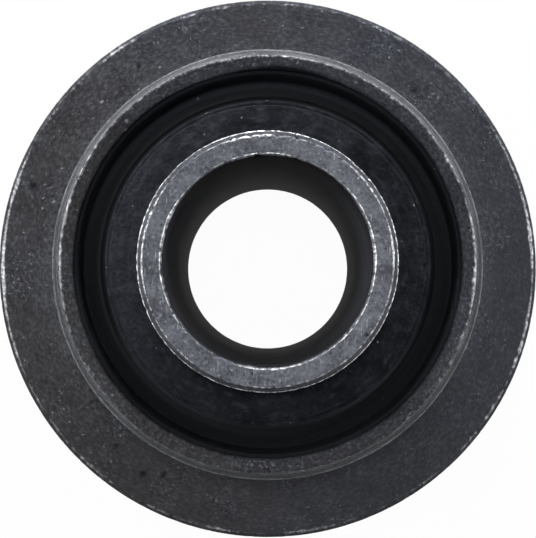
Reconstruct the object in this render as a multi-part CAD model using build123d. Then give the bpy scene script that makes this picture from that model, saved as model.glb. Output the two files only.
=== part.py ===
from build123d import *
import math
import os

# Rubber metal bush with a flanged outer sleeve. Millimetres, +Z up, standing on its flange end.
# The origin is on the axis, at the foot of the inner sleeve.
# The eye of the arm is pressed over the outer sleeve from the free end, down to the flange,
# and a bolt clamps the two ends of the inner sleeve in its bracket.
# Sizes across the axis are stacked outwards from the bolt, and sizes along it from the flange end.

# Inner sleeve: a thick cut-off tube
BOLT_D = 16.0
BOLT_CLEARANCE = 0.05
INNER_WALL = 1.95
INNER_END_CHAMFER = 0.4
BORE_EDGE_BREAK = 0.15

# Outer sleeve: turned in one piece with its flange
SLEEVE_LENGTH = 36.1
SLEEVE_WALL = 2.25
FREE_END_STANDOUT = 12.4  # of the inner sleeve past the outer one
FLANGE_END_STANDOUT = 1.5
FLANGE_REACH = 8.35  # beyond the sleeve, all round
FLANGE_THICKNESS = 4.0
FLANGE_CHAMFER = 0.4
FLANGE_ROOT_BEVEL = 0.5
LEAD_IN_LENGTH = 4.35
LEAD_IN_ANGLE = 13.5  # from the axis, to start the eye over the free end
CREST_LAND = 0.2  # the narrow flat that is left at the very end
END_FACE_ANGLE = 20.0  # the free end's face falls inwards from its crest
END_FACE_BEVEL = 0.4
FLANGE_MOUTH_BEVEL = 0.8

# Rubber body: moulded between the two sleeves and bonded to both
RUBBER_WALL = 6.0
COLLAR_WIDTH = 2.95
COLLAR_CROWN_SHARE = 0.62  # of the collar's width that is flat, before it falls to its edge
COLLAR_FALL = 0.22
COLLAR_STEP = 0.5  # down to the ledge that the mould's ring leaves round the collar
LEDGE_WIDTH = 0.35
GROOVE_FLOOR_WIDTH = 0.6
GROOVE_ROOT_BEVEL = 0.3  # between the groove's floor and the flank of the rubber
NECK_WIDTH = 0.9  # of the slope of rubber that runs up the inner sleeve
NECK_RISE = 1.05
SKIN_THICKNESS = 0.2  # of the film that lines the outer sleeve's bore
SKIN_FEATHER = 0.8
SKIN_SETBACK = 0.25  # from where the bore's wall ends

FREE_COLLAR_STAND = 1.9  # past the outer sleeve's own end
FREE_GROOVE_DEPTH = 7.5
FLANGE_COLLAR_STAND = -0.7
FLANGE_GROOVE_DEPTH = 5.0

# Worked out across the axis
inner_bore_r = BOLT_D / 2 + BOLT_CLEARANCE
inner_r = inner_bore_r + INNER_WALL
sleeve_bore_r = inner_r + RUBBER_WALL
sleeve_r = sleeve_bore_r + SLEEVE_WALL
flange_r = sleeve_r + FLANGE_REACH
crest_r = sleeve_r - LEAD_IN_LENGTH * math.tan(math.radians(LEAD_IN_ANGLE))

# Worked out along the axis
flange_end_z = FLANGE_END_STANDOUT
seat_z = flange_end_z + FLANGE_THICKNESS
free_end_z = flange_end_z + SLEEVE_LENGTH
inner_top_z = free_end_z + FREE_END_STANDOUT
end_face_width = crest_r - CREST_LAND - END_FACE_BEVEL - sleeve_bore_r
end_face_fall = end_face_width * math.tan(math.radians(END_FACE_ANGLE))
bore_top_z = free_end_z - end_face_fall - END_FACE_BEVEL
bore_foot_z = flange_end_z + FLANGE_MOUTH_BEVEL


def turned(corners):
    """A solid of revolution. Each corner is its radius and its height."""
    return revolve(Plane.XZ * make_face(Polyline(*corners, close=True)), Axis.Z)


def inner_sleeve():
    chamfer = INNER_END_CHAMFER
    edge = BORE_EDGE_BREAK
    return turned(
        [
            (inner_bore_r + edge, 0),
            (inner_r - chamfer, 0),
            (inner_r, chamfer),
            (inner_r, inner_top_z - chamfer),
            (inner_r - chamfer, inner_top_z),
            (inner_bore_r + edge, inner_top_z),
            (inner_bore_r, inner_top_z - edge),
            (inner_bore_r, edge),
        ]
    )


def outer_sleeve():
    chamfer = FLANGE_CHAMFER
    return turned(
        [
            (sleeve_bore_r + FLANGE_MOUTH_BEVEL, flange_end_z),
            (flange_r - chamfer, flange_end_z),
            (flange_r, flange_end_z + chamfer),
            (flange_r, seat_z - chamfer),
            (flange_r - chamfer, seat_z),
            (sleeve_r + FLANGE_ROOT_BEVEL, seat_z),
            (sleeve_r, seat_z + FLANGE_ROOT_BEVEL),
            (sleeve_r, free_end_z - LEAD_IN_LENGTH),
            (crest_r, free_end_z),
            (crest_r - CREST_LAND, free_end_z),
            (sleeve_bore_r + END_FACE_BEVEL, free_end_z - end_face_fall),
            (sleeve_bore_r, bore_top_z),
            (sleeve_bore_r, bore_foot_z),
        ]
    )


def rubber_end(end_z, outward, collar_stand, groove_depth, skin_end_z):
    """The corners of one end of the rubber, from the inner sleeve out to the outer one.

    outward is 1 where the end faces up and -1 where it faces down."""
    collar_r = inner_r + COLLAR_WIDTH
    crown_r = inner_r + COLLAR_WIDTH * COLLAR_CROWN_SHARE
    ledge_r = collar_r + LEDGE_WIDTH
    skin_r = sleeve_bore_r - SKIN_THICKNESS
    collar_z = end_z + outward * collar_stand
    edge_z = collar_z - outward * COLLAR_FALL
    ledge_z = edge_z - outward * COLLAR_STEP
    floor_r = skin_r - GROOVE_FLOOR_WIDTH
    floor_z = end_z - outward * groove_depth
    flank_slope = (floor_r - ledge_r) / abs(ledge_z - floor_z)
    return [
        (inner_r, collar_z + outward * NECK_RISE),
        (inner_r + NECK_WIDTH, collar_z),
        (crown_r, collar_z),
        (collar_r, edge_z),
        (collar_r, ledge_z),
        (ledge_r, ledge_z),
        (floor_r - GROOVE_ROOT_BEVEL * flank_slope, floor_z + outward * GROOVE_ROOT_BEVEL),
        (floor_r + GROOVE_ROOT_BEVEL, floor_z),
        (skin_r, floor_z),
        (skin_r, skin_end_z - outward * SKIN_FEATHER),
        (sleeve_bore_r, skin_end_z),
    ]


def rubber_body():
    free_end = rubber_end(
        free_end_z, 1, FREE_COLLAR_STAND, FREE_GROOVE_DEPTH, bore_top_z - SKIN_SETBACK
    )
    flange_end = rubber_end(
        flange_end_z, -1, FLANGE_COLLAR_STAND, FLANGE_GROOVE_DEPTH, bore_foot_z + SKIN_SETBACK
    )
    return turned(free_end + flange_end[::-1])


os.makedirs("parts", exist_ok=True)
for make in (inner_sleeve, rubber_body, outer_sleeve):
    export_step(make(), f"parts/{make.__name__}.step")

print("inner sleeve", 2 * inner_bore_r, "x", 2 * inner_r, "x", inner_top_z)
print("outer sleeve", 2 * sleeve_bore_r, "x", 2 * sleeve_r, "x", SLEEVE_LENGTH)
print("flange", 2 * flange_r, "x", FLANGE_THICKNESS)
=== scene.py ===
import bpy
import math
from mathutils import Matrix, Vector


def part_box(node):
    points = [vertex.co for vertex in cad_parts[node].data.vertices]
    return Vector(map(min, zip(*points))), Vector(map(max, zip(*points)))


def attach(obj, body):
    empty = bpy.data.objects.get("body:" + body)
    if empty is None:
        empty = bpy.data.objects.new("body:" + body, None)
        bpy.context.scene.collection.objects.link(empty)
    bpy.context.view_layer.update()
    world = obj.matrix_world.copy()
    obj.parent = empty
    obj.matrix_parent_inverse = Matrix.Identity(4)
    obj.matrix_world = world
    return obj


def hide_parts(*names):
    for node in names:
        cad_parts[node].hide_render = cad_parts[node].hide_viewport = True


# Rubber metal bush, stood on its flange end. Metres, in the frame of the CAD model, +Z up.
# Three pieces are dressed here: the flanged outer sleeve, the rubber and the inner sleeve.
# Each is turned from its half section by one Geometry Nodes tree, which also wears and pits it.

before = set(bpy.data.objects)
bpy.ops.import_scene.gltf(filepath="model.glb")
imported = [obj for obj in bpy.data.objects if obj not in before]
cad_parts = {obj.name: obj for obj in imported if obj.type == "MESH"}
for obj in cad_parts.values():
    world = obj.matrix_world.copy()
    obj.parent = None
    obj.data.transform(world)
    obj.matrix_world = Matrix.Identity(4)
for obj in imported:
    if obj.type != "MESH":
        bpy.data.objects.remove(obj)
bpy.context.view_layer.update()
mm = 0.001
print("frame loaded:", sorted(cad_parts))


def linear(hexCode):  # an sRGB hex colour as linear RGBA
    shades = [int(hexCode[i:i + 2], 16) / 255 for i in (1, 3, 5)]
    return [s / 12.92 if s <= 0.04045 else ((s + 0.055) / 1.055) ** 2.4 for s in shades] + [1]


def addNode(tree, kind, inputs=None, out=0, **settings):  # gives the output that is asked for
    node = tree.nodes.new(kind)
    for name, value in settings.items():
        setattr(node, name, value)
    for socket, value in (inputs or {}).items():
        if isinstance(value, bpy.types.NodeSocket):
            tree.links.new(value, node.inputs[socket])
        else:
            node.inputs[socket].default_value = value
    return node.outputs[out] if node.outputs else node


def between(low, high, start=0.0, end=1.0):  # the ranges of a Map Range
    return {"From Min": low, "From Max": high, "To Min": start, "To Max": end}


def perMetre(size):  # the texture scale whose pattern repeats about every size millimetres
    return 1 / (size * mm)


def addObject(name, data):
    holder = bpy.data.objects.new(name, data)
    bpy.context.scene.collection.objects.link(holder)
    return holder


def keepAtPoints(mesh, name, values):  # one number at each point of a mesh
    mesh.attributes.new(name, "FLOAT", "POINT").data.foreach_set("value", values)


# The half sections
# A corner is (radius, height, rounding, wear, pitch, zone). Lengths are in millimetres, here and
# in the dictionary of each piece. Wear is how far the corner is rubbed, from 0, not at all, to 1
# or a little more. Pitch and zone are of the straight run to the next corner: how far apart its
# points lie, and how much it has of the second look of its finish.

arbor = 1.0  # the circle that every section is swept round
arcTurn = 22.0  # degrees from one point of a rounding to the next, at most
leastRun = 0.04  # from the end of a straight run to the nearest point on it


def sectionPoints(corners, wearReach):  # wear spreads that far from an edge
    spots = [Vector(corner[:2]) for corner in corners]
    count = len(corners)
    arcs = []
    for i, (_, _, rounding, _, _, _) in enumerate(corners):
        before = (spots[i - 1] - spots[i]).normalized()
        after = (spots[(i + 1) % count] - spots[i]).normalized()
        if not rounding:
            arcs.append([spots[i]])
            continue
        half = before.angle(after) / 2
        centre = spots[i] + (before + after).normalized() * rounding / math.sin(half)
        start = spots[i] + before * rounding / math.tan(half) - centre
        end = spots[i] + after * rounding / math.tan(half) - centre
        steps = max(2, math.ceil(start.angle(end) / math.radians(arcTurn)))
        arcs.append([centre + start.slerp(end, k / steps) * rounding for k in range(steps + 1)])
    points = []
    for i, (_, _, _, wear, pitch, zone) in enumerate(corners):
        nextWear = corners[(i + 1) % count][3]
        points += [(spot, wear, zone) for spot in arcs[i]]
        start, end = arcs[i][-1], arcs[(i + 1) % count][0]
        length = (end - start).length
        stops = [k * pitch for k in range(1, int(length / pitch))]
        stops += [wearReach / 2, wearReach] if wear else []
        stops += [length - wearReach / 2, length - wearReach] if nextWear else []
        stops = sorted(stop for stop in stops if leastRun < stop < length - leastRun)
        for stop in stops:
            worn = max(wear * (1 - stop / wearReach), nextWear * (1 - (length - stop) / wearReach))
            points.append((start.lerp(end, stop / length), max(0, worn), zone))
    return points


def sectionObject(name, corners, wearReach):
    points = sectionPoints(corners, wearReach)
    mesh = bpy.data.meshes.new(name)
    places = [((spot.x - arbor) * mm, -spot.y * mm, 0) for spot, _, _ in points]
    mesh.from_pydata(places, [(i, (i + 1) % len(points)) for i in range(len(points))], [])
    keepAtPoints(mesh, "edgeWear", [wear for _, wear, _ in points])
    keepAtPoints(mesh, "zone", [zone for _, _, zone in points])
    return addObject(name, mesh)


def marksObject(name, marks):  # a mark is (x, y, z, reach) in millimetres
    mesh = bpy.data.meshes.new(name)
    mesh.from_pydata([(x * mm, y * mm, z * mm) for x, y, z, _ in marks], [], [])
    keepAtPoints(mesh, "reach", [reach * mm for _, _, _, reach in marks])
    return addObject(name, mesh)


# The tree that turns a section and wears the result

turnedInputs = {  # by the kind of socket
    "Int": ["Segments"],
    "Float": ["Grain Depth", "Grain Scale", "Nick Depth", "Nick Scale", "Wave Depth", "Wave Scale",
              "Mark Depth", "Seed"],
    "Object": ["Marks"],
    "Material": ["Finish"],
}
nickSpan = (0.52, 0.74)  # of the noise: where a nick starts, and where it is at its deepest


def turnedTree():
    tree = bpy.data.node_groups.new("turned and worn", "GeometryNodeTree")
    tree.interface.new_socket("Geometry", in_out="INPUT", socket_type="NodeSocketGeometry")
    for kind, names in turnedInputs.items():
        for name in names:
            tree.interface.new_socket(name, in_out="INPUT", socket_type="NodeSocket" + kind)
    tree.interface.new_socket("Geometry", in_out="OUTPUT", socket_type="NodeSocketGeometry")
    given = tree.nodes.new("NodeGroupInput").outputs

    # sweep the section round the axis
    section = addNode(tree, "GeometryNodeMeshToCurve", {"Mesh": given["Geometry"]})
    ring = addNode(tree, "GeometryNodeCurvePrimitiveCircle",
                   {"Resolution": given["Segments"], "Radius": arbor * mm}, mode="RADIUS")
    ring = addNode(tree, "GeometryNodeSetCurveNormal", {"Curve": ring}, mode="Z_UP")
    swept = addNode(tree, "GeometryNodeCurveToMesh", {"Curve": ring, "Profile Curve": section})
    swept = addNode(tree, "GeometryNodeFlipFaces", {"Mesh": swept})

    # fine grain, nicks on the worn edges, and slow waves
    here = addNode(tree, "GeometryNodeInputPosition")
    wear = addNode(tree, "GeometryNodeInputNamedAttribute", {"Name": "edgeWear"}, data_type="FLOAT")
    grain, nick, wave = [
        addNode(tree, "ShaderNodeTexNoise",
                {"Vector": here, "W": given["Seed"], "Scale": given[kind + " Scale"], "Detail": detail},
                noise_dimensions="4D")
        for kind, detail in (("Grain", 2), ("Nick", 3), ("Wave", 1))]
    nick = addNode(tree, "ShaderNodeMapRange", {"Value": nick, **between(*nickSpan)},
                   interpolation_type="SMOOTHSTEP")
    nick = addNode(tree, "ShaderNodeMath", {0: nick, 1: wear}, operation="MULTIPLY")

    # marks: round dents, each with its own reach
    marks = addNode(tree, "GeometryNodeObjectInfo", {"Object": given["Marks"]}, out="Geometry")
    apart = addNode(tree, "GeometryNodeProximity", {0: marks}, out="Distance", target_element="POINTS")
    nearest = addNode(tree, "GeometryNodeSampleNearest", {"Geometry": marks})
    reach = addNode(tree, "GeometryNodeInputNamedAttribute", {"Name": "reach"}, data_type="FLOAT")
    reach = addNode(tree, "GeometryNodeSampleIndex",
                    {"Geometry": marks, "Value": reach, "Index": nearest}, data_type="FLOAT")
    mark = addNode(tree, "ShaderNodeMapRange", {"Value": apart, **between(reach, 0.0)},
                   interpolation_type="SMOOTHSTEP")

    # all four sink the surface
    sunk = 0.0
    for kind, share in (("Grain", grain), ("Nick", nick), ("Wave", wave), ("Mark", mark)):
        sunk = addNode(tree, "ShaderNodeMath", {0: share, 1: given[kind + " Depth"], 2: sunk},
                       operation="MULTIPLY_ADD")
    sunk = addNode(tree, "ShaderNodeMath", {0: sunk, 1: -1.0}, operation="MULTIPLY")
    outward = addNode(tree, "GeometryNodeInputNormal")
    offset = addNode(tree, "ShaderNodeVectorMath", {0: outward, "Scale": sunk}, operation="SCALE")
    for name, value in (("mark", mark), ("nick", nick)):
        swept = addNode(tree, "GeometryNodeStoreNamedAttribute",
                        {"Geometry": swept, "Name": name, "Value": value},
                        data_type="FLOAT", domain="POINT")
    swept = addNode(tree, "GeometryNodeSetPosition", {"Geometry": swept, "Offset": offset})
    swept = addNode(tree, "GeometryNodeSetShadeSmooth", {"Geometry": swept})
    swept = addNode(tree, "GeometryNodeRealizeInstances", {"Geometry": swept})
    swept = addNode(tree, "GeometryNodeSetMaterial", {"Geometry": swept, "Material": given["Finish"]})
    addNode(tree, "NodeGroupOutput", {"Geometry": swept})
    return tree


def turnPiece(name, corners, values, finish, tree):
    section = sectionObject(name + " section", corners, values["wearReach"])
    marks = marksObject(name + " marks", values["marks"])
    modifier = section.modifiers.new("turned and worn", "NODES")
    modifier.node_group = tree
    settings = {
        "Segments": values["segments"],
        "Mark Depth": values["markDepth"] * mm,
        "Marks": marks,
        "Seed": values["seed"],
        "Finish": finish,
    }
    for kind in ("Grain", "Nick", "Wave"):
        settings[kind + " Depth"] = values[kind.lower() + "Depth"] * mm
        settings[kind + " Scale"] = perMetre(values[kind.lower() + "Size"])
    for item in tree.interface.items_tree:  # a modifier's input is set by its identifier
        if item.in_out == "INPUT" and item.name in settings:
            modifier[item.identifier] = settings[item.name]
    section.update_tag()
    evaluated = section.evaluated_get(bpy.context.evaluated_depsgraph_get())
    mesh = bpy.data.meshes.new_from_object(evaluated)
    mesh.name = name
    section.modifiers.remove(modifier)
    bpy.data.objects.remove(section)
    bpy.data.objects.remove(marks)
    print(name, "turned:", len(mesh.polygons), "faces")
    return addObject(name, mesh)


# Finishes
# Sizes are in millimetres. A drum is the one that roundTheAxis wraps a pattern round. A share is
# how much of one pattern goes into another. A span gives the values of a pattern where its effect
# starts and where it is full, and then how strong it is at each, where that isn't 0 and 1.

rightWay = (1, 0, 0)
backWay = (0, 1, 0)


def startFinish(name):
    finish = bpy.data.materials.new(name)
    finish.use_nodes = True
    finish.node_tree.nodes.clear()
    return finish, finish.node_tree


def readMesh(tree):  # a point's place, and the mark, zone and wear that the turned mesh has there
    here = addNode(tree, "ShaderNodeTexCoord", out="Object")
    return [here] + [addNode(tree, "ShaderNodeAttribute", out="Fac", attribute_name=name)
                     for name in ("mark", "zone", "edgeWear")]


def paint(tree, values, colour, layers):  # lays colours over a first one, each by its own share
    for share, over in layers:
        over = linear(values[over]) if isinstance(over, str) else over
        colour = addNode(tree, "ShaderNodeMix", {0: share, 6: colour, 7: over}, out=2, data_type="RGBA")
    return colour


def facing(tree, here, way):  # from 1 to -1, how far a point lies that way from the axis
    flat = addNode(tree, "ShaderNodeVectorMath", {0: here, 1: (1, 1, 0)}, operation="MULTIPLY")
    side = addNode(tree, "ShaderNodeVectorMath", {0: flat}, operation="NORMALIZE")
    return addNode(tree, "ShaderNodeVectorMath", {0: side, 1: way}, out="Value", operation="DOT_PRODUCT")


def roundTheAxis(tree, here, drum):
    # wraps a pattern round a drum of so many millimetres: the smaller it is, the longer it streaks
    flat = addNode(tree, "ShaderNodeVectorMath", {0: here, 1: (1, 1, 0)}, operation="MULTIPLY")
    radius = addNode(tree, "ShaderNodeVectorMath", {0: flat}, out="Value", operation="LENGTH")
    ring = addNode(tree, "ShaderNodeVectorMath", {0: flat}, operation="NORMALIZE")
    ring = addNode(tree, "ShaderNodeVectorMath", {0: ring, "Scale": drum * mm}, operation="SCALE")
    height = addNode(tree, "ShaderNodeSeparateXYZ", {"Vector": here}, out="Z")
    height = addNode(tree, "ShaderNodeMath", {0: radius, 1: height}, operation="ADD")
    height = addNode(tree, "ShaderNodeCombineXYZ", {"Z": height})
    return addNode(tree, "ShaderNodeVectorMath", {0: ring, 1: height}, operation="ADD"), radius


wearAndGlintSides = {
    "frontSpan": (-0.85, 0.05),  # how far back a point faces, from the front to the sides
    "backSpan": (0.2, 0.8),  # and from the sides to the back
    "nickShare": -0.25,
}


def wearAndGlintBySide(tree, here, wear, front, back):
    # the edges are worn, and their bright metal is set most on the two sides as painted highlight; the
    # coat stays in their nicks
    side = facing(tree, here, backWay)
    behind = addNode(tree, "ShaderNodeMapRange",
                     {"Value": side, **between(*wearAndGlintSides["backSpan"], 1.0, back)},
                     interpolation_type="SMOOTHSTEP")
    before = addNode(tree, "ShaderNodeMapRange",
                     {"Value": side, **between(*wearAndGlintSides["frontSpan"], front, 1.0)},
                     interpolation_type="SMOOTHSTEP")
    side = addNode(tree, "ShaderNodeMath", {0: before, 1: behind}, operation="MULTIPLY")
    worn = addNode(tree, "ShaderNodeMath", {0: wear, 1: side}, operation="MULTIPLY")
    nick = addNode(tree, "ShaderNodeAttribute", out="Fac", attribute_name="nick")
    return addNode(tree, "ShaderNodeMath", {0: nick, 1: wearAndGlintSides["nickShare"], 2: worn},
                   operation="MULTIPLY_ADD")


def bareMetal(tree, values, here, along, wear):
    # where the coat is worn off, broken up by what is left; the metal is bright and dull by turns
    ragged, patch, granule = [
        addNode(tree, "ShaderNodeTexNoise",
                {"Vector": where, "Scale": perMetre(values[size]), "Detail": detail})
        for where, size, detail in ((along, "raggedSize", 3), (here, "patchSize", 1),
                                    (here, "granuleSize", 2))]
    broken = addNode(tree, "ShaderNodeMath", {0: ragged, 1: patch}, operation="ADD")
    bare = addNode(tree, "ShaderNodeMath", {0: broken, 1: values["brokenShare"], 2: wear},
                   operation="MULTIPLY_ADD")
    bare = addNode(tree, "ShaderNodeMapRange", {"Value": bare, **between(*values["bareSpan"])},
                   interpolation_type="SMOOTHSTEP")
    granule = addNode(tree, "ShaderNodeMapRange", {"Value": granule, **between(*values["granuleSpan"])})
    bright = paint(tree, values, linear(values["dullSteel"]), [(granule, "bareSteel")])
    return bare, bright, broken


def scattered(tree, where, share, spacing, radius, rare, span, **settings):
    # round spots, at most one to a cell, each as large as its chance and the share let it be
    cells = addNode(tree, "ShaderNodeTexVoronoi", {"Vector": where, "Scale": perMetre(spacing)},
                    out="Distance")
    chance = addNode(tree, "ShaderNodeSeparateColor", {"Color": cells.node.outputs["Color"]}, out="Red")
    reach = addNode(tree, "ShaderNodeMapRange",
                    {"Value": chance, **between(rare, 1.0, 0.0, radius / spacing)})
    reach = addNode(tree, "ShaderNodeMath", {0: reach, 1: share}, operation="MULTIPLY")
    spot = addNode(tree, "ShaderNodeMath", {0: reach, 1: cells}, operation="SUBTRACT")
    spot = addNode(tree, "ShaderNodeMapRange", {"Value": spot, **between(*span)}, **settings)
    return spot, chance


def layFinish(tree, values, colour, relief, bare=None):
    look = {"Base Color": colour, "Roughness": values["roughness"],
            "Specular IOR Level": values["specular"]}
    if bare is not None:
        look["Metallic"] = addNode(tree, "ShaderNodeMath", {0: bare, 1: values["bareMetallic"]},
                                   operation="MULTIPLY")
        look["Roughness"] = addNode(tree, "ShaderNodeMapRange",
                                    {"Value": bare, "To Min": values["roughness"],
                                     "To Max": values["bareRoughness"]})
    look["Normal"] = addNode(tree, "ShaderNodeBump",
                             {"Strength": values["reliefStrength"],
                              "Distance": values["reliefDepth"] * mm, "Height": relief})
    surface = addNode(tree, "ShaderNodeBsdfPrincipled", look)
    addNode(tree, "ShaderNodeOutputMaterial", {"Surface": surface})


# Manganese phosphate on turned steel: a soft dark crystal coat, bluish in places, with clusters
# of faint specks, rubbed through to bright metal on the edges and streaked on the lead-in.
# Its crystals are too fine to show, so grain, specks and granules are drawn coarser.
phosphated = {
    "shade": "#3e4047",
    "warmShade": "#3f3e40",
    "bluishWay": (0.9, 0.44, 0),  # the side that the coat is bluish on
    "bluishShare": 0.3,
    "tintSize": 9.0,
    "tintSpan": (0.15, 0.85),
    "paleGrain": "#606368",
    "paleSpan": (0.68, 1.02),
    "darkGrain": "#292a2d",
    "darkSpan": (0.66, 0.42),
    "grainSize": 0.28,
    "grainDrum": 14.0,
    "mottleSize": 2.6,
    "mottleShare": 0.35,
    "speck": "#808287",  # crystals that stand up, pale and partly a painted highlight
    "speckSize": 0.3,
    "speckShare": 0.35,
    "speckSpan": (0.83, 0.99),
    "pit": "#161618",
    "pitShare": -0.5,
    "pitSpan": (-0.02, -0.08),
    "clusterSize": 4.5,
    "coarseWay": (-0.75, 0.66, 0),  # the side that the crystals are coarse on
    "coarseShare": 0.22,
    "coarseSpan": (0.3, 0.7, 0.5, 1.0),
    "endFaceRadius": 17.3,  # within it they are coarse all round
    "lump": "#8c8e94",  # the coat is thin and pale on top of each, partly a painted highlight
    "lumpSpacing": 0.95,
    "lumpRadius": 0.23,
    "lumpRare": 0.3,  # a cell whose chance is lower has none
    "lumpSpan": (-0.02, 0.14),
    "lumpBend": 0.45,
    "rubbedShade": "#282a2e",  # the lead-in, rubbed by the press tool and the eye it is pressed into
    "rubbedStreak": "#5a5c61",
    "streakSize": 0.16,
    "streakDrum": 1.2,
    "streakShare": 0.5,
    "streakSpan": (0.6, 1.0),
    "startWidth": 1.2,  # up the lead-in, that the eye polishes as it starts
    "startFull": 0.6,  # of that width, up to which the polish is full
    "startPolish": 0.5,
    "noseWidth": 2.2,  # down the lead-in from its crest, that is rubbed in the same way
    "nosePolish": 0.45,
    "seatLight": "#63656c",  # painted light on the flange next to the sleeve
    "seatInner": 21.6,
    "seatOuter": 22.8,
    "seatLightShare": 0.35,
    "seatLightSpan": (-0.9, -0.2),  # and least at the front
    "bareSteel": "#d6d7da",
    "dullSteel": "#909297",
    "granuleSize": 0.34,
    "granuleSpan": (0.44, 0.64),
    "raggedSize": 0.32,
    "patchSize": 5.0,
    "brokenShare": 1.3,
    "bareSpan": (1.65, 2.3),
    "frontWearAndGlint": 0.32,  # of the wear and painted highlight, at the front
    "backWearAndGlint": 0.7,
    "rimFrontWearAndGlint": 0.6,
    "rimBackWearAndGlint": 0.56,
    "rimInside": 1.0,  # past the sleeve's radius, where the flange's wear begins
    "slantWearAndGlintCut": 0.3,  # taken off the wear and painted highlight on the four slanting sides
    "film": "#14161a",  # rubber that crept out of the bore on to the end face
    "filmReach": 0.1,  # past the bore
    "filmRagged": 0.3,
    "filmEdge": 0.16,  # over which it thins out
    "creepPlace": (1.5, 16.5, 37.4),  # where it crept furthest
    "creepReach": 6.0,
    "creepWidth": 0.32,
    "reliefShare": 0.35,
    "reliefDepth": 0.14,
    "reliefStrength": 0.9,
    "specular": 0.04,
    "roughness": 0.8,
    "bareRoughness": 0.4,
    "bareMetallic": 0.6,
}


def phosphateWear(tree, here, wear, onFlange):
    # the flange has its own shares of wear and painted highlight, and the four slanting sides get less
    front, back = [
        addNode(tree, "ShaderNodeMapRange", {"Value": onFlange, "To Min": phosphated[sleeve],
                                             "To Max": phosphated[rim]})
        for sleeve, rim in (("frontWearAndGlint", "rimFrontWearAndGlint"), ("backWearAndGlint", "rimBackWearAndGlint"))]
    wear = wearAndGlintBySide(tree, here, wear, front, back)
    askew = addNode(tree, "ShaderNodeMath",
                    {0: facing(tree, here, rightWay), 1: facing(tree, here, backWay)},
                    operation="MULTIPLY")
    askew = addNode(tree, "ShaderNodeMath", {0: askew, 1: 2.0}, operation="POWER")
    # its square is a quarter on the slant, at most
    askew = addNode(tree, "ShaderNodeMath", {0: askew, 1: -4 * phosphated["slantWearAndGlintCut"], 2: 1.0},
                    operation="MULTIPLY_ADD")
    return addNode(tree, "ShaderNodeMath", {0: wear, 1: askew}, operation="MULTIPLY")


def crystals(tree, here, along, radius):
    # the coat's grain, its colours under and over the rubbed streaks, and its relief
    mottle, grain, fine, cluster = [
        addNode(tree, "ShaderNodeTexNoise", {"Vector": where, "Scale": perMetre(phosphated[size]),
                                             "Detail": detail, "Roughness": roughness})
        for where, size, detail, roughness in (
            (here, "mottleSize", 4, 0.5), (along, "grainSize", 3, 0.6),
            (here, "speckSize", 2, 0.55), (here, "clusterSize", 2, 0.5))]
    tone = addNode(tree, "ShaderNodeMath", {0: mottle, 1: phosphated["mottleShare"], 2: grain},
                   operation="MULTIPLY_ADD")
    proud = addNode(tree, "ShaderNodeMath", {0: cluster, 1: phosphated["speckShare"], 2: fine},
                    operation="MULTIPLY_ADD")
    sunken = addNode(tree, "ShaderNodeMath", {0: cluster, 1: phosphated["pitShare"], 2: fine},
                     operation="MULTIPLY_ADD")
    pale, dark, proud, sunken = [
        addNode(tree, "ShaderNodeMapRange", {"Value": value, **between(*phosphated[span])})
        for value, span in ((tone, "paleSpan"), (tone, "darkSpan"), (proud, "speckSpan"),
                            (sunken, "pitSpan"))]

    coarse = addNode(tree, "ShaderNodeMath",
                     {0: facing(tree, here, phosphated["coarseWay"]), 1: phosphated["coarseShare"],
                      2: cluster}, operation="MULTIPLY_ADD")
    coarse = addNode(tree, "ShaderNodeMapRange", {"Value": coarse, **between(*phosphated["coarseSpan"])})
    onEnd = addNode(tree, "ShaderNodeMath", {0: radius, 1: phosphated["endFaceRadius"] * mm},
                    operation="LESS_THAN")
    coarse = addNode(tree, "ShaderNodeMath", {0: coarse, 1: onEnd}, operation="MAXIMUM")
    pale, dark, proud = [addNode(tree, "ShaderNodeMath", {0: value, 1: coarse}, operation="MULTIPLY")
                         for value in (pale, dark, proud)]

    # lumps under the coat, out of round by the grain
    bent = addNode(tree, "ShaderNodeMath", {0: grain, 1: phosphated["lumpBend"] * mm},
                   operation="MULTIPLY")
    bent = addNode(tree, "ShaderNodeVectorMath", {0: here, 1: bent}, operation="ADD")
    lump, chance = scattered(tree, bent, coarse, phosphated["lumpSpacing"], phosphated["lumpRadius"],
                             phosphated["lumpRare"], phosphated["lumpSpan"],
                             interpolation_type="SMOOTHSTEP")
    topped = addNode(tree, "ShaderNodeMath", {0: lump, 1: chance}, operation="MULTIPLY")
    relief = addNode(tree, "ShaderNodeMath", {0: proud, 1: sunken}, operation="SUBTRACT")
    relief = addNode(tree, "ShaderNodeMath", {0: relief, 1: grain}, operation="ADD")
    relief = addNode(tree, "ShaderNodeMath", {0: relief, 1: phosphated["reliefShare"], 2: lump},
                     operation="MULTIPLY_ADD")
    under = [(pale, "paleGrain"), (dark, "darkGrain")]
    return grain, under, [(topped, "lump"), (proud, "speck"), (sunken, "pit")], relief


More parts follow.
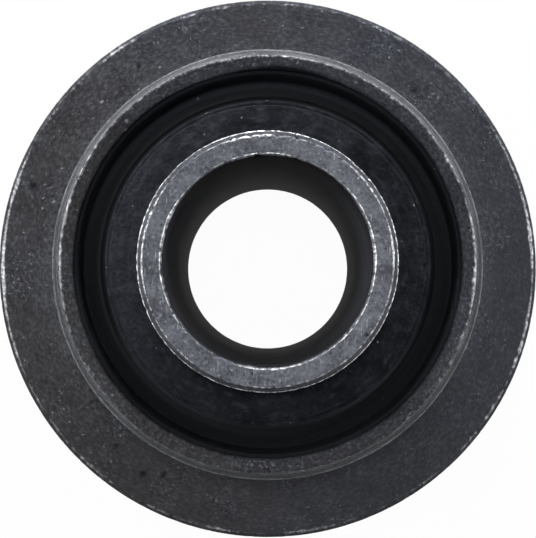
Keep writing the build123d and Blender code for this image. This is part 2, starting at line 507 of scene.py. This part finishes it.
def rubbedAndSeatLight(tree, here, zone, onFlange, radius, grain):
    # streaks along the turning, the polish at both ends of the lead-in, and painted light on the flange
    # next to the sleeve
    streaky, _ = roundTheAxis(tree, here, phosphated["streakDrum"])
    streak = addNode(tree, "ShaderNodeTexNoise",
                     {"Vector": streaky, "Scale": perMetre(phosphated["streakSize"]), "Detail": 3})
    rubbed = addNode(tree, "ShaderNodeMath", {0: grain, 1: phosphated["streakShare"], 2: streak},
                     operation="MULTIPLY_ADD")
    rubbed = addNode(tree, "ShaderNodeMapRange", {"Value": rubbed, **between(*phosphated["streakSpan"])})
    rubbed = addNode(tree, "ShaderNodeMath", {0: rubbed, 1: zone}, operation="MULTIPLY")

    height = addNode(tree, "ShaderNodeSeparateXYZ", {"Vector": here}, out="Z")
    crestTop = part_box("outer_sleeve")[1].z
    foot, width = crestTop - outerSleeve["leadInLength"] * mm, phosphated["startWidth"] * mm
    start, nose = [
        addNode(tree, "ShaderNodeMapRange", {"Value": height, **between(low, high, 0.0, full)})
        for low, high, full in (
            (foot + width, foot + phosphated["startFull"] * width, phosphated["startPolish"]),
            (crestTop - phosphated["noseWidth"] * mm, crestTop, phosphated["nosePolish"]))]
    polish = addNode(tree, "ShaderNodeMath", {0: start, 1: nose}, operation="ADD")
    polish = addNode(tree, "ShaderNodeMath", {0: polish, 1: rubbed}, operation="MULTIPLY")

    # painted light on the flange next to the sleeve, least at the front
    seat = addNode(tree, "ShaderNodeMapRange",
                   {"Value": radius, **between(phosphated["seatOuter"] * mm,
                                               phosphated["seatInner"] * mm,
                                               0.0, phosphated["seatLightShare"])})
    notInFront = addNode(tree, "ShaderNodeMapRange",
                         {"Value": facing(tree, here, backWay), **between(*phosphated["seatLightSpan"])})
    for share in (onFlange, notInFront, grain):
        seat = addNode(tree, "ShaderNodeMath", {0: seat, 1: share}, operation="MULTIPLY")
    return rubbed, polish, seat


def rubberFilm(tree, here, radius, broken):
    # a ragged film of rubber round the mouth of the bore, which shows none of the metal
    creep = addNode(tree, "ShaderNodeVectorMath",
                    {0: here, 1: [length * mm for length in phosphated["creepPlace"]]},
                    out="Value", operation="DISTANCE")
    creep = addNode(tree, "ShaderNodeMapRange",
                    {"Value": creep, **between(phosphated["creepReach"] * mm, 0.0,
                                               0.0, phosphated["creepWidth"] * mm)},
                    interpolation_type="SMOOTHSTEP")
    ragged = phosphated["filmRagged"] * mm
    reach = (outerSleeve["boreRadius"] + phosphated["filmReach"]) * mm
    edge = addNode(tree, "ShaderNodeMath", {0: broken, 1: ragged, 2: reach - ragged},
                   operation="MULTIPLY_ADD")
    edge = addNode(tree, "ShaderNodeMath", {0: edge, 1: creep}, operation="ADD")
    edge = addNode(tree, "ShaderNodeMath", {0: edge, 1: radius}, operation="SUBTRACT")
    thin = phosphated["filmEdge"] * mm
    return addNode(tree, "ShaderNodeMapRange", {"Value": edge, **between(-thin, thin)})


def phosphatedSteel():
    finish, tree = startFinish("phosphated turned steel")
    here, mark, zone, wear = readMesh(tree)
    along, radius = roundTheAxis(tree, here, phosphated["grainDrum"])
    flangeStart = outerSleeve["sleeveRadius"] + phosphated["rimInside"]
    onFlange = addNode(tree, "ShaderNodeMath", {0: radius, 1: flangeStart * mm}, operation="GREATER_THAN")
    wear = phosphateWear(tree, here, wear, onFlange)
    tint = addNode(tree, "ShaderNodeTexNoise",
                   {"Vector": here, "Scale": perMetre(phosphated["tintSize"]), "Detail": 3})
    tint = addNode(tree, "ShaderNodeMath",
                   {0: facing(tree, here, phosphated["bluishWay"]), 1: phosphated["bluishShare"],
                    2: tint}, operation="MULTIPLY_ADD")
    tint = addNode(tree, "ShaderNodeMapRange", {"Value": tint, **between(*phosphated["tintSpan"])})
    grain, under, over, relief = crystals(tree, here, along, radius)
    rubbed, polish, seat = rubbedAndSeatLight(tree, here, zone, onFlange, radius, grain)
    bare, bright, broken = bareMetal(tree, phosphated, here, along, wear)
    bare = addNode(tree, "ShaderNodeMath", {0: bare, 1: polish}, operation="MAXIMUM")
    film = rubberFilm(tree, here, radius, broken)
    colour = paint(tree, phosphated, linear(phosphated["warmShade"]), [
        (tint, "shade"), (seat, "seatLight"), (zone, "rubbedShade"), *under,
        (rubbed, "rubbedStreak"), *over, (mark, "pit"), (bare, bright), (film, "film")])
    kept = addNode(tree, "ShaderNodeMath", {0: 1.0, 1: film}, operation="SUBTRACT")
    shown = addNode(tree, "ShaderNodeMath", {0: bare, 1: kept}, operation="MULTIPLY")
    layFinish(tree, phosphated, colour, relief, shown)
    return finish


# Cut and blasted tube, thinly phosphated: a lighter bluish grey with a fine bright grit,
# a few scratches, and lumpy bright edges where the cut left a burr. The grit is drawn coarser
# than it is.
blasted = {
    "shade": "#4b4d53",
    "mottleSize": 1.8,
    "grainSize": 0.26,
    "paleGrain": "#74777f",
    "paleSpan": (0.75, 1.25),
    "grit": "#a3a5aa",
    "gritSpan": (0.63, 0.8),
    "pit": "#232427",
    "pitSpan": (0.33, 0.23),
    "scratchWidth": 0.14,
    "scratchLength": 1.1,
    "scratchTurns": (0.4, 1.3, 2.5),  # radians round the axis
    "scratchSpan": (0.72, 0.82),
    "scale": "#09090e",  # the bore keeps the tube's dark mill scale
    "boreLight": "#84868f",  # with painted light over it at the front and the two sides
    "frontSpan": (0.95, 0.2, 0.0, 0.38),  # how far back a point faces
    "boreSideLight": 0.8,
    "boreLightFoot": 18.0,
    "boreLightTop": 34.0,
    "mouthFoot": 41.0,  # from here up the painted light fades
    "mouthTop": 48.0,
    "mouthLight": 0.15,
    "bareSteel": "#e6e7ea",
    "dullSteel": "#7e8085",
    "granuleSize": 0.34,
    "granuleSpan": (0.42, 0.56),
    "raggedSize": 0.35,
    "raggedDrum": 6.0,
    "patchSize": 4.0,
    "brokenShare": 0.9,
    "bareSpan": (1.4, 1.8),
    # shares of the wear and painted highlight at the front and at the back
    "frontWearAndGlint": 0.64,
    "backWearAndGlint": 0.7,
    "reliefDepth": 0.06,
    "reliefStrength": 0.8,
    "specular": 0.06,
    "roughness": 0.8,
    "bareRoughness": 0.38,
    "bareMetallic": 0.65,
}


def scratches(tree, here):  # short ones that lie a few ways
    width, length = perMetre(blasted["scratchWidth"]), perMetre(blasted["scratchLength"])
    scratch = 0.0
    for turn in blasted["scratchTurns"]:
        lie = addNode(tree, "ShaderNodeMapping",
                      {"Vector": here, "Rotation": (0, 0, turn), "Scale": (width, length, length)})
        line = addNode(tree, "ShaderNodeTexNoise", {"Vector": lie, "Scale": 1.0, "Detail": 1})
        line = addNode(tree, "ShaderNodeMapRange", {"Value": line, **between(*blasted["scratchSpan"])})
        scratch = addNode(tree, "ShaderNodeMath", {0: scratch, 1: line}, operation="MAXIMUM")
    return scratch


def boreColour(tree, here):  # painted light on the bore at the front and the two sides, in its upper part
    litBore = addNode(tree, "ShaderNodeMapRange",
                   {"Value": facing(tree, here, backWay), **between(*blasted["frontSpan"])},
                   interpolation_type="SMOOTHSTEP")
    aside = addNode(tree, "ShaderNodeMath", {0: facing(tree, here, rightWay), 1: 2.0}, operation="POWER")
    litBore = addNode(tree, "ShaderNodeMath", {0: aside, 1: blasted["boreSideLight"], 2: litBore},
                   operation="MULTIPLY_ADD")
    height = addNode(tree, "ShaderNodeSeparateXYZ", {"Vector": here}, out="Z")
    for reach in (between(blasted["boreLightFoot"] * mm, blasted["boreLightTop"] * mm),
                  between(blasted["mouthFoot"] * mm, blasted["mouthTop"] * mm,
                          1.0, blasted["mouthLight"])):
        reach = addNode(tree, "ShaderNodeMapRange", {"Value": height, **reach})
        litBore = addNode(tree, "ShaderNodeMath", {0: litBore, 1: reach}, operation="MULTIPLY")
    return paint(tree, blasted, linear(blasted["scale"]), [(litBore, "boreLight")])


def blastedSteel():
    finish, tree = startFinish("blasted tube steel")
    here, mark, zone, wear = readMesh(tree)
    wear = wearAndGlintBySide(tree, here, wear, blasted["frontWearAndGlint"], blasted["backWearAndGlint"])
    along, _ = roundTheAxis(tree, here, blasted["raggedDrum"])
    mottle = addNode(tree, "ShaderNodeTexNoise",
                     {"Vector": here, "Scale": perMetre(blasted["mottleSize"]), "Detail": 3})
    grain = addNode(tree, "ShaderNodeTexNoise",
                    {"Vector": here, "Scale": perMetre(blasted["grainSize"]), "Detail": 2,
                     "Roughness": 0.6})
    tone = addNode(tree, "ShaderNodeMath", {0: mottle, 1: grain}, operation="ADD")
    pale, grit, pit = [
        addNode(tree, "ShaderNodeMapRange", {"Value": value, **between(*blasted[span])})
        for value, span in ((tone, "paleSpan"), (grain, "gritSpan"), (grain, "pitSpan"))]
    scratch = scratches(tree, here)
    bare, bright, _ = bareMetal(tree, blasted, here, along, wear)
    colour = paint(tree, blasted, linear(blasted["shade"]), [
        (pale, "paleGrain"), (pit, "pit"), (grit, "grit"), (scratch, "grit"),
        (zone, boreColour(tree, here)), (mark, "pit"), (bare, bright)])
    layFinish(tree, blasted, colour, grain, bare)
    return finish


# Compression moulded natural rubber with carbon black: nearly black, matt and greyed by dust,
# with painted light and painted shade in its grooves.
moulded = {
    "shade": "#15171a",
    "dusty": "#37383f",
    "dustSize": 3.0,
    "dustSpan": (0.39, 0.88),
    "dustyWay": (-0.08, 0, 0),  # the side that most dust lies on, and its share
    "dustySides": 0.11,  # and more on both sides than at front and back
    "grainSize": 0.3,
    "roughSpan": (0.35, 0.65, 0.5, 1.0),  # the grain's hollows hold less dust
    "shadedWidth": 0.75,  # of the collar next to the inner sleeve, that has painted shade
    "shadedFull": 0.2,  # of that width
    "shadedShare": 0.75,
    "scuff": "#3f424a",
    "scuffSize": 0.5,
    "scuffDrum": 5.0,
    "scuffSpan": (0.52, 0.75, 0.0, 0.5),
    "speck": "#6a6c70",
    "speckSpacing": 1.0,
    "speckRadius": 0.13,
    "speckRare": 0.55,
    "speckSpan": (-0.01, 0.04),
    # dark of the dents, also painted shade beside the inner sleeve, atop the groove's back wall and on
    # the skin's front
    "mark": "#090a0c",
    # the groove's colour, under its painted light and painted shade
    "groove": "#18191d",
    "backGrooveLight": "#2d2f34",  # painted light on its lower part at the back
    "backSpan": (-0.2, 1.0),
    "wallShadeSpan": (0.4, 0.0, 0.0, 0.75),  # painted shade at the top of its wall at the back
    "skin": "#34363b",  # painted light on the thin skin on the outer sleeve's bore
    "skinRadius": 15.8,
    "skinEdge": 0.08,
    "skinLightSides": (-0.9, -0.1),  # how far back a point faces, for the painted light on the skin to show
    "skinFrontShade": (-0.4, -0.95, 0.0, 0.4),  # painted shade on it at the front
    # painted light down in the groove
    "grooveLight": "#54565b",
    "grooveLightTop": 36.3,  # the painted light thickens from here down, except at the front
    "grooveLightFull": 34.9,
    "grooveLightFoot": 30.95,  # and is gone at the groove's floor
    "grooveLightFade": 1.0,
    "grooveLightStart": 0.6,  # its strength at its top, at the front
    "grooveLightSpan": (-1.0, -0.2),
    "skinGrooveLight": -0.5,  # the skin gets less of it
    "reliefDepth": 0.16,
    "reliefStrength": 0.6,
    "specular": 0.03,
    "roughness": 0.78,
}


def dustOn(tree, here, grain):
    dust = addNode(tree, "ShaderNodeTexNoise",
                   {"Vector": here, "Scale": perMetre(moulded["dustSize"]), "Detail": 6,
                    "Roughness": 0.75})
    dust = addNode(tree, "ShaderNodeMath", {0: facing(tree, here, moulded["dustyWay"]), 1: dust},
                   operation="ADD")
    aside = facing(tree, here, rightWay)
    aside = addNode(tree, "ShaderNodeMath", {0: aside, 1: aside}, operation="MULTIPLY")
    dust = addNode(tree, "ShaderNodeMath", {0: aside, 1: moulded["dustySides"], 2: dust},
                   operation="MULTIPLY_ADD")
    dust = addNode(tree, "ShaderNodeMapRange", {"Value": dust, **between(*moulded["dustSpan"])})
    rough = addNode(tree, "ShaderNodeMapRange", {"Value": grain, **between(*moulded["roughSpan"])})
    return addNode(tree, "ShaderNodeMath", {0: dust, 1: rough}, operation="MULTIPLY")


def inTheGroove(tree, here, zone, radius):  # painted light and painted shade in the groove
    height = addNode(tree, "ShaderNodeSeparateXYZ", {"Vector": here}, out="Z")
    backward = facing(tree, here, backWay)
    top, full = moulded["grooveLightTop"] * mm, moulded["grooveLightFull"] * mm
    low = addNode(tree, "ShaderNodeMapRange", {"Value": height, **between(top, full)})
    wall = addNode(tree, "ShaderNodeMapRange", {"Value": low, **between(*moulded["wallShadeSpan"])})
    skin, edge = moulded["skinRadius"] * mm, moulded["skinEdge"] * mm
    onSkin = addNode(tree, "ShaderNodeMapRange", {"Value": radius, **between(skin - edge, skin)})
    behind, before, beside = [
        addNode(tree, "ShaderNodeMapRange", {"Value": backward, **between(*moulded[span])})
        for span in ("backSpan", "skinFrontShade", "skinLightSides")]
    wall, behind, before, beside = [
        addNode(tree, "ShaderNodeMath", {0: share, 1: place}, operation="MULTIPLY")
        for share, place in ((behind, wall), (behind, low), (before, onSkin), (beside, onSkin))]
    groove = paint(tree, moulded, linear(moulded["groove"]), [
        (behind, "backGrooveLight"), (wall, "mark"), (before, "mark"), (beside, "skin")])

    start = addNode(tree, "ShaderNodeMapRange",
                    {"Value": backward, **between(*moulded["grooveLightSpan"], moulded["grooveLightStart"], 0.0)},
                    interpolation_type="SMOOTHSTEP")
    grooveLight = addNode(tree, "ShaderNodeMapRange", {"Value": height, **between(top, full, start, 1.0)})
    foot = moulded["grooveLightFoot"] * mm
    floor = addNode(tree, "ShaderNodeMapRange",
                    {"Value": height, **between(foot - moulded["grooveLightFade"] * mm, foot)},
                    interpolation_type="SMOOTHSTEP")
    held = addNode(tree, "ShaderNodeMath", {0: onSkin, 1: moulded["skinGrooveLight"], 2: 1.0},
                   operation="MULTIPLY_ADD")
    for share in (floor, zone, held):
        grooveLight = addNode(tree, "ShaderNodeMath", {0: grooveLight, 1: share}, operation="MULTIPLY")
    return groove, grooveLight


def mouldedRubber():
    finish, tree = startFinish("moulded black rubber")
    here, mark, zone, wear = readMesh(tree)
    streaky, radius = roundTheAxis(tree, here, moulded["scuffDrum"])
    grain = addNode(tree, "ShaderNodeTexNoise",
                    {"Vector": here, "Scale": perMetre(moulded["grainSize"]), "Detail": 3})
    dust = dustOn(tree, here, grain)
    scuff = addNode(tree, "ShaderNodeTexNoise",
                    {"Vector": streaky, "Scale": perMetre(moulded["scuffSize"]), "Detail": 4})
    scuff = addNode(tree, "ShaderNodeMapRange", {"Value": scuff, **between(*moulded["scuffSpan"])})
    edge = addNode(tree, "ShaderNodeMath", {0: grain, 1: wear}, operation="MULTIPLY")
    scuff = addNode(tree, "ShaderNodeMath", {0: scuff, 1: edge}, operation="ADD", use_clamp=True)
    # painted shade on the collar next to the inner sleeve
    collar, width = rubberBody["innerRadius"] * mm, moulded["shadedWidth"] * mm
    shaded = addNode(tree, "ShaderNodeMapRange",
                     {"Value": radius, **between(collar + width, collar + moulded["shadedFull"] * width,
                                                 0.0, moulded["shadedShare"])})
    speck, _ = scattered(tree, here, 1.0, moulded["speckSpacing"], moulded["speckRadius"],
                         moulded["speckRare"], moulded["speckSpan"])
    groove, grooveLight = inTheGroove(tree, here, zone, radius)
    # the groove's layers and the shaded one are painted light and painted shade
    colour = paint(tree, moulded, linear(moulded["shade"]), [
        (dust, "dusty"), (scuff, "scuff"), (shaded, "mark"), (zone, groove), (grooveLight, "grooveLight"),
        (speck, "speck"), (mark, "mark")])
    layFinish(tree, moulded, colour, grain)
    return finish


# Outer sleeve: turned in one piece with its flange

outerSleeve = {
    "segments": 840,
    "seed": 3.0,
    "wearReach": 0.26,
    "boreRadius": 16.0,
    "sleeveRadius": 18.25,
    "flangeThickness": 4.0,
    "flangeChamfer": 0.4,
    "rootRound": 0.5,
    "leadInLength": 4.35,
    "leadInAngle": 13.5,  # degrees from the wall
    "crestLand": 0.2,
    "endFaceAngle": 20.0,  # degrees that the end face falls towards the bore
    "mouthBevel": 0.8,
    "grainDepth": 0.025,
    "grainSize": 0.7,
    "nickDepth": 0.18,
    "nickSize": 0.4,
    "waveDepth": 0.03,
    "waveSize": 7.0,
    "markDepth": 0.09,
    "marks": [  # casting pits on the flange
        (-23.15, 8.15, 5.5, 0.72),
        (-21.3, 7.1, 5.5, 0.36),
        (-12.8, 20.0, 5.5, 0.4),
        (14.5, 17.6, 5.5, 0.5),
        (-17.3, -13.2, 5.5, 0.34),
        (-15.0, -17.5, 5.5, 0.4),
        (-12.3, -20.3, 5.5, 0.58),
        (-10.3, -20.4, 5.5, 0.45),
    ],
}


def outerCorners(values):
    low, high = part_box("outer_sleeve")
    foot, top, flangeRadius = low.z / mm, high.z / mm, high.x / mm
    bore, wall, chamfer = values["boreRadius"], values["sleeveRadius"], values["flangeChamfer"]
    seat = foot + values["flangeThickness"]
    crest = wall - values["leadInLength"] * math.tan(math.radians(values["leadInAngle"]))
    land = crest - values["crestLand"]
    mouthTop = top - (land - bore) * math.tan(math.radians(values["endFaceAngle"]))
    return [
        (bore + values["mouthBevel"], foot, 0.15, 0.0, 2.0, 0),
        (flangeRadius - chamfer, foot, 0.15, 0.4, 0.6, 0),
        (flangeRadius, foot + chamfer, 0.15, 0.5, 1.0, 0),
        (flangeRadius, seat - chamfer, 0.15, 0.25, 0.6, 0),
        (flangeRadius - chamfer, seat, 0.15, 1.0, 0.35, 0),
        (wall, seat, values["rootRound"], 0, 3.0, 0),
        (wall, top - values["leadInLength"], 0.3, 0.7, 0.5, 1),
        (crest, top, 0.12, 1.0, 0.3, 0),
        (land, top, 0.05, 0.65, 0.2, 0),
        (bore, mouthTop, 0.25, 0.0, 9.0, 0),
        (bore, foot + values["mouthBevel"], 0.1, 0, 0.3, 0),
    ]


# Rubber: one moulding, bonded between the sleeves

rubberBody = {
    "segments": 768,
    "seed": 11.0,
    "wearReach": 0.16,
    "innerRadius": 10.0,
    "outerRadius": 16.0,
    "crownStart": 0.1,  # past the inner radius
    "collarWidth": 2.95,
    "crownWidth": 1.83,
    "collarFall": 0.22,
    "collarStep": 0.5,
    "ledgeWidth": 0.35,
    "grooveFloor": 0.6,
    "bondDepth": 0.1,  # the bonded faces lie this far inside the steel, so no gap shows
    "sheath": 0.2,  # from the bonded face, the thin rubber that climbs the inner sleeve
    "sheathRise": 1.05,
    "skin": 0.2,  # the thin rubber on the outer sleeve's bore
    "skinFeather": 0.8,  # the height over which it thins out
    "sleeveTop": 37.6,  # the heights that each end's stand and groove are measured from
    "sleeveFoot": 1.5,
    "freeStand": 1.9,
    "freeGroove": 7.5,
    "freeSkin": 36.77,  # the height where the skin on the bore ends
    "flangeStand": -0.7,
    "flangeGroove": 5.0,
    "flangeSkin": 2.55,
    "grainDepth": 0.01,
    "grainSize": 0.6,
    "nickDepth": 0.5,
    "nickSize": 0.8,
    "waveDepth": 0.05,
    "waveSize": 5.0,
    "markDepth": 0.08,
    "marks": [(12.9, -0.2, 39.3, 0.4)],
}


def rubberEnd(values, endHeight, outward, stand, groove, skinEnd):  # outward is 1 up, -1 down
    inner, skin = values["innerRadius"] - values["bondDepth"], values["outerRadius"] - values["skin"]
    collar = values["innerRadius"] + values["collarWidth"]
    crown = endHeight + outward * stand
    edge = crown - outward * values["collarFall"]
    ledge = edge - outward * values["collarStep"]
    floorHeight = endHeight - outward * groove
    return [
        (inner, crown + outward * values["sheathRise"], 0, 0, 0.3, 0),
        (inner + values["sheath"], crown + outward * values["sheathRise"], 0.03, 0, 0.3, 0),
        (values["innerRadius"] + values["crownStart"], crown, 0.9, 0, 0.3, 0),
        (values["innerRadius"] + values["crownWidth"], crown, 2.4, 0, 0.3, 0),
        (collar, edge, 0.12, 0.15, 0.2, 0),
        (collar, ledge, 0.04, 0, 0.2, 0),
        (collar + values["ledgeWidth"], ledge, 0.12, 0.12, 0.9, 1),
        (skin - values["grooveFloor"], floorHeight, 0.4, 0, 0.4, 1),
        (skin, floorHeight, 0.25, 0, 1.5, 1),
        (skin, skinEnd - outward * values["skinFeather"], 0.3, 0, 0.3, 1),
        (values["outerRadius"] + values["bondDepth"], skinEnd, 0, 0, 9.0, 1),
    ]


def rubberCorners(values):
    freeEnd = rubberEnd(values, values["sleeveTop"], 1, values["freeStand"],
                        values["freeGroove"], values["freeSkin"])
    flangeEnd = rubberEnd(values, values["sleeveFoot"], -1, values["flangeStand"],
                          values["flangeGroove"], values["flangeSkin"])
    # the section is walked one way round: out along the flange end, up, and in along the free end
    inward = [corner[:4] + freeEnd[i - 1][4:] for i, corner in enumerate(freeEnd)]
    return flangeEnd + inward[::-1]


# Inner sleeve: a thick cut-off tube

innerSleeve = {
    "segments": 900,
    "seed": 29.0,
    "wearReach": 0.15,
    "boreRadius": 8.05,
    "endChamfer": 0.4,
    "boreEdge": 0.15,
    "rubberTop": 40.0,  # below this the rubber hides the wall
    "grainDepth": 0.012,
    "grainSize": 0.4,
    "nickDepth": 0.14,
    "nickSize": 0.45,
    "waveDepth": 0.0,
    "waveSize": 5.0,
    "markDepth": 0.08,
    "marks": [  # notches in the outer edge
        (7.5, -5.6, 50.0, 0.3),
        (-9.3, 3.9, 49.8, 0.3),
        (-7.4, 6.8, 49.8, 0.3),
        (9.6, 2.5, 49.8, 0.3),
        (9.75, 1.7, 49.8, 0.25),
    ],
}


def innerCorners(values):
    low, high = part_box("inner_sleeve")
    foot, top, radius = low.z / mm, high.z / mm, high.x / mm
    bore, chamfer, edge = values["boreRadius"], values["endChamfer"], values["boreEdge"]
    return [
        (bore + edge, foot, 0.05, 0.6, 0.2, 0),
        (radius - chamfer, foot, 0.1, 0.9, 0.2, 0),
        (radius, foot + chamfer, 0.1, 0.9, 9.0, 0),
        (radius, values["rubberTop"], 0, 0, 0.8, 0),
        # the chamfer below the top takes 0.6 of the bore's dark colour
        (radius, top - chamfer, 0.1, 1.4, 0.2, 0.6),
        (radius - chamfer, top, 0.1, 1.0, 0.15, 0),
        (bore + edge, top, 0.05, 1.2, 0.2, 0),
        (bore, top - edge, 0.05, 0.9, 3.5, 1),
        (bore, foot + edge, 0.05, 0.4, 0.2, 0),
    ]


# The three pieces

tree = turnedTree()
print("tree built")
outerPiece = turnPiece("outer sleeve", outerCorners(outerSleeve), outerSleeve, phosphatedSteel(), tree)
rubberPiece = turnPiece("rubber body", rubberCorners(rubberBody), rubberBody, mouldedRubber(), tree)
innerPiece = turnPiece("inner sleeve", innerCorners(innerSleeve), innerSleeve, blastedSteel(), tree)
for piece, node, slot in (
    (outerPiece, "outer_sleeve", "outer_steel"),
    (rubberPiece, "rubber_body", "rubber"),
    (innerPiece, "inner_sleeve", "inner_steel"),
):
    piece.name = node.replace("_", "-")
    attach(piece, "root")
    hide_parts(node)
print("pieces dressed")


# Studio

studio = {
    "floorWidth": 3.0,
    "floorShade": "#f4f4f4",
    "floorGlow": 0.97,  # how much of the floor's look is plain white, the rest keeps the shadow
    "worldShade": "#18181a",
    "worldStrength": 1.0,
    "aim": (0, 0, 0.02),  # m, the point that every panel faces
    "panels": [  # name, (x, y, z) m, side m, watts
        ("back panel", (0.0, 0.447, 0.055), 0.28, 4.55),
        ("back left panel", (-0.322, 0.3, 0.094), 0.28, 0.95),
        ("back right panel", (0.285, 0.266, 0.225), 0.28, 0.3),
        ("left panel", (-0.444, 0.0, 0.07), 0.28, 0.91),
        ("high left panel", (-0.238, 0.0, 0.382), 0.28, 0.31),
        ("right panel", (0.444, 0.0, 0.07), 0.28, 1.06),
        ("lamp above the camera", (0.0, 0.025, 0.45), 0.04, 0.7),
    ],
}


def makeFloor(values):
    half = values["floorWidth"] / 2
    corners = [(-half, -half, 0), (half, -half, 0), (half, half, 0), (-half, half, 0)]
    mesh = bpy.data.meshes.new("floor")
    mesh.from_pydata(corners, [], [(0, 1, 2, 3)])
    # matt paper that glows where the camera sees it: nearly white, with a soft shadow
    finish, tree = startFinish("white studio paper")
    paper = addNode(tree, "ShaderNodeBsdfDiffuse", {"Color": linear(values["floorShade"])})
    glow = addNode(tree, "ShaderNodeEmission", {"Color": (1, 1, 1, 1), "Strength": 1.0})
    path = addNode(tree, "ShaderNodeLightPath", out="Is Camera Ray").node.outputs
    seen = path["Is Camera Ray"]
    for ray in ("Is Glossy Ray", "Is Transmission Ray"):
        seen = addNode(tree, "ShaderNodeMath", {0: seen, 1: path[ray]}, operation="MAXIMUM")
    share = addNode(tree, "ShaderNodeMath", {0: seen, 1: values["floorGlow"]}, operation="MULTIPLY")
    surface = addNode(tree, "ShaderNodeMixShader", {0: share, 1: paper, 2: glow})
    addNode(tree, "ShaderNodeOutputMaterial", {"Surface": surface})
    mesh.materials.append(finish)
    floor = addObject("floor", mesh)


def makeLights(values):
    world = bpy.data.worlds.new("studio")
    bpy.context.scene.world = world
    world.use_nodes = True
    world.node_tree.nodes.clear()
    air = addNode(world.node_tree, "ShaderNodeBackground",
                  {"Color": linear(values["worldShade"]), "Strength": values["worldStrength"]})
    addNode(world.node_tree, "ShaderNodeOutputWorld", {"Surface": air})
    for name, place, side, power in values["panels"]:
        lamp = bpy.data.lights.new(name, "AREA")
        lamp.shape, lamp.size, lamp.energy = "SQUARE", side, power
        panel = addObject(name, lamp)
        panel.location = place
        panel.rotation_euler = (Vector(values["aim"]) - Vector(place)).to_track_quat("-Z", "Y").to_euler()


camera = {
    "place": (0, -0.0023, 0.1976),  # m
    "turn": (0.01163, -0.0002, 0),  # radians, from looking straight down
    "focalPixels": 1944,  # in a picture as wide as the next value
    "widthPixels": 536,
    "sensorWidth": 36.0,  # mm
    "nearest": 0.01,  # m
    "farthest": 10,
}


def makeCamera(values):
    lens = bpy.data.cameras.new("camera")
    lens.sensor_fit, lens.sensor_width = "HORIZONTAL", values["sensorWidth"]
    lens.lens = values["focalPixels"] / values["widthPixels"] * values["sensorWidth"]
    lens.clip_start, lens.clip_end = values["nearest"], values["farthest"]
    viewer = addObject("camera", lens)
    viewer.location = values["place"]
    viewer.rotation_euler = values["turn"]
    bpy.context.scene.camera = viewer


makeFloor(studio)
makeLights(studio)
makeCamera(camera)
bpy.context.scene.view_settings.view_transform = "Standard"
print("studio set")
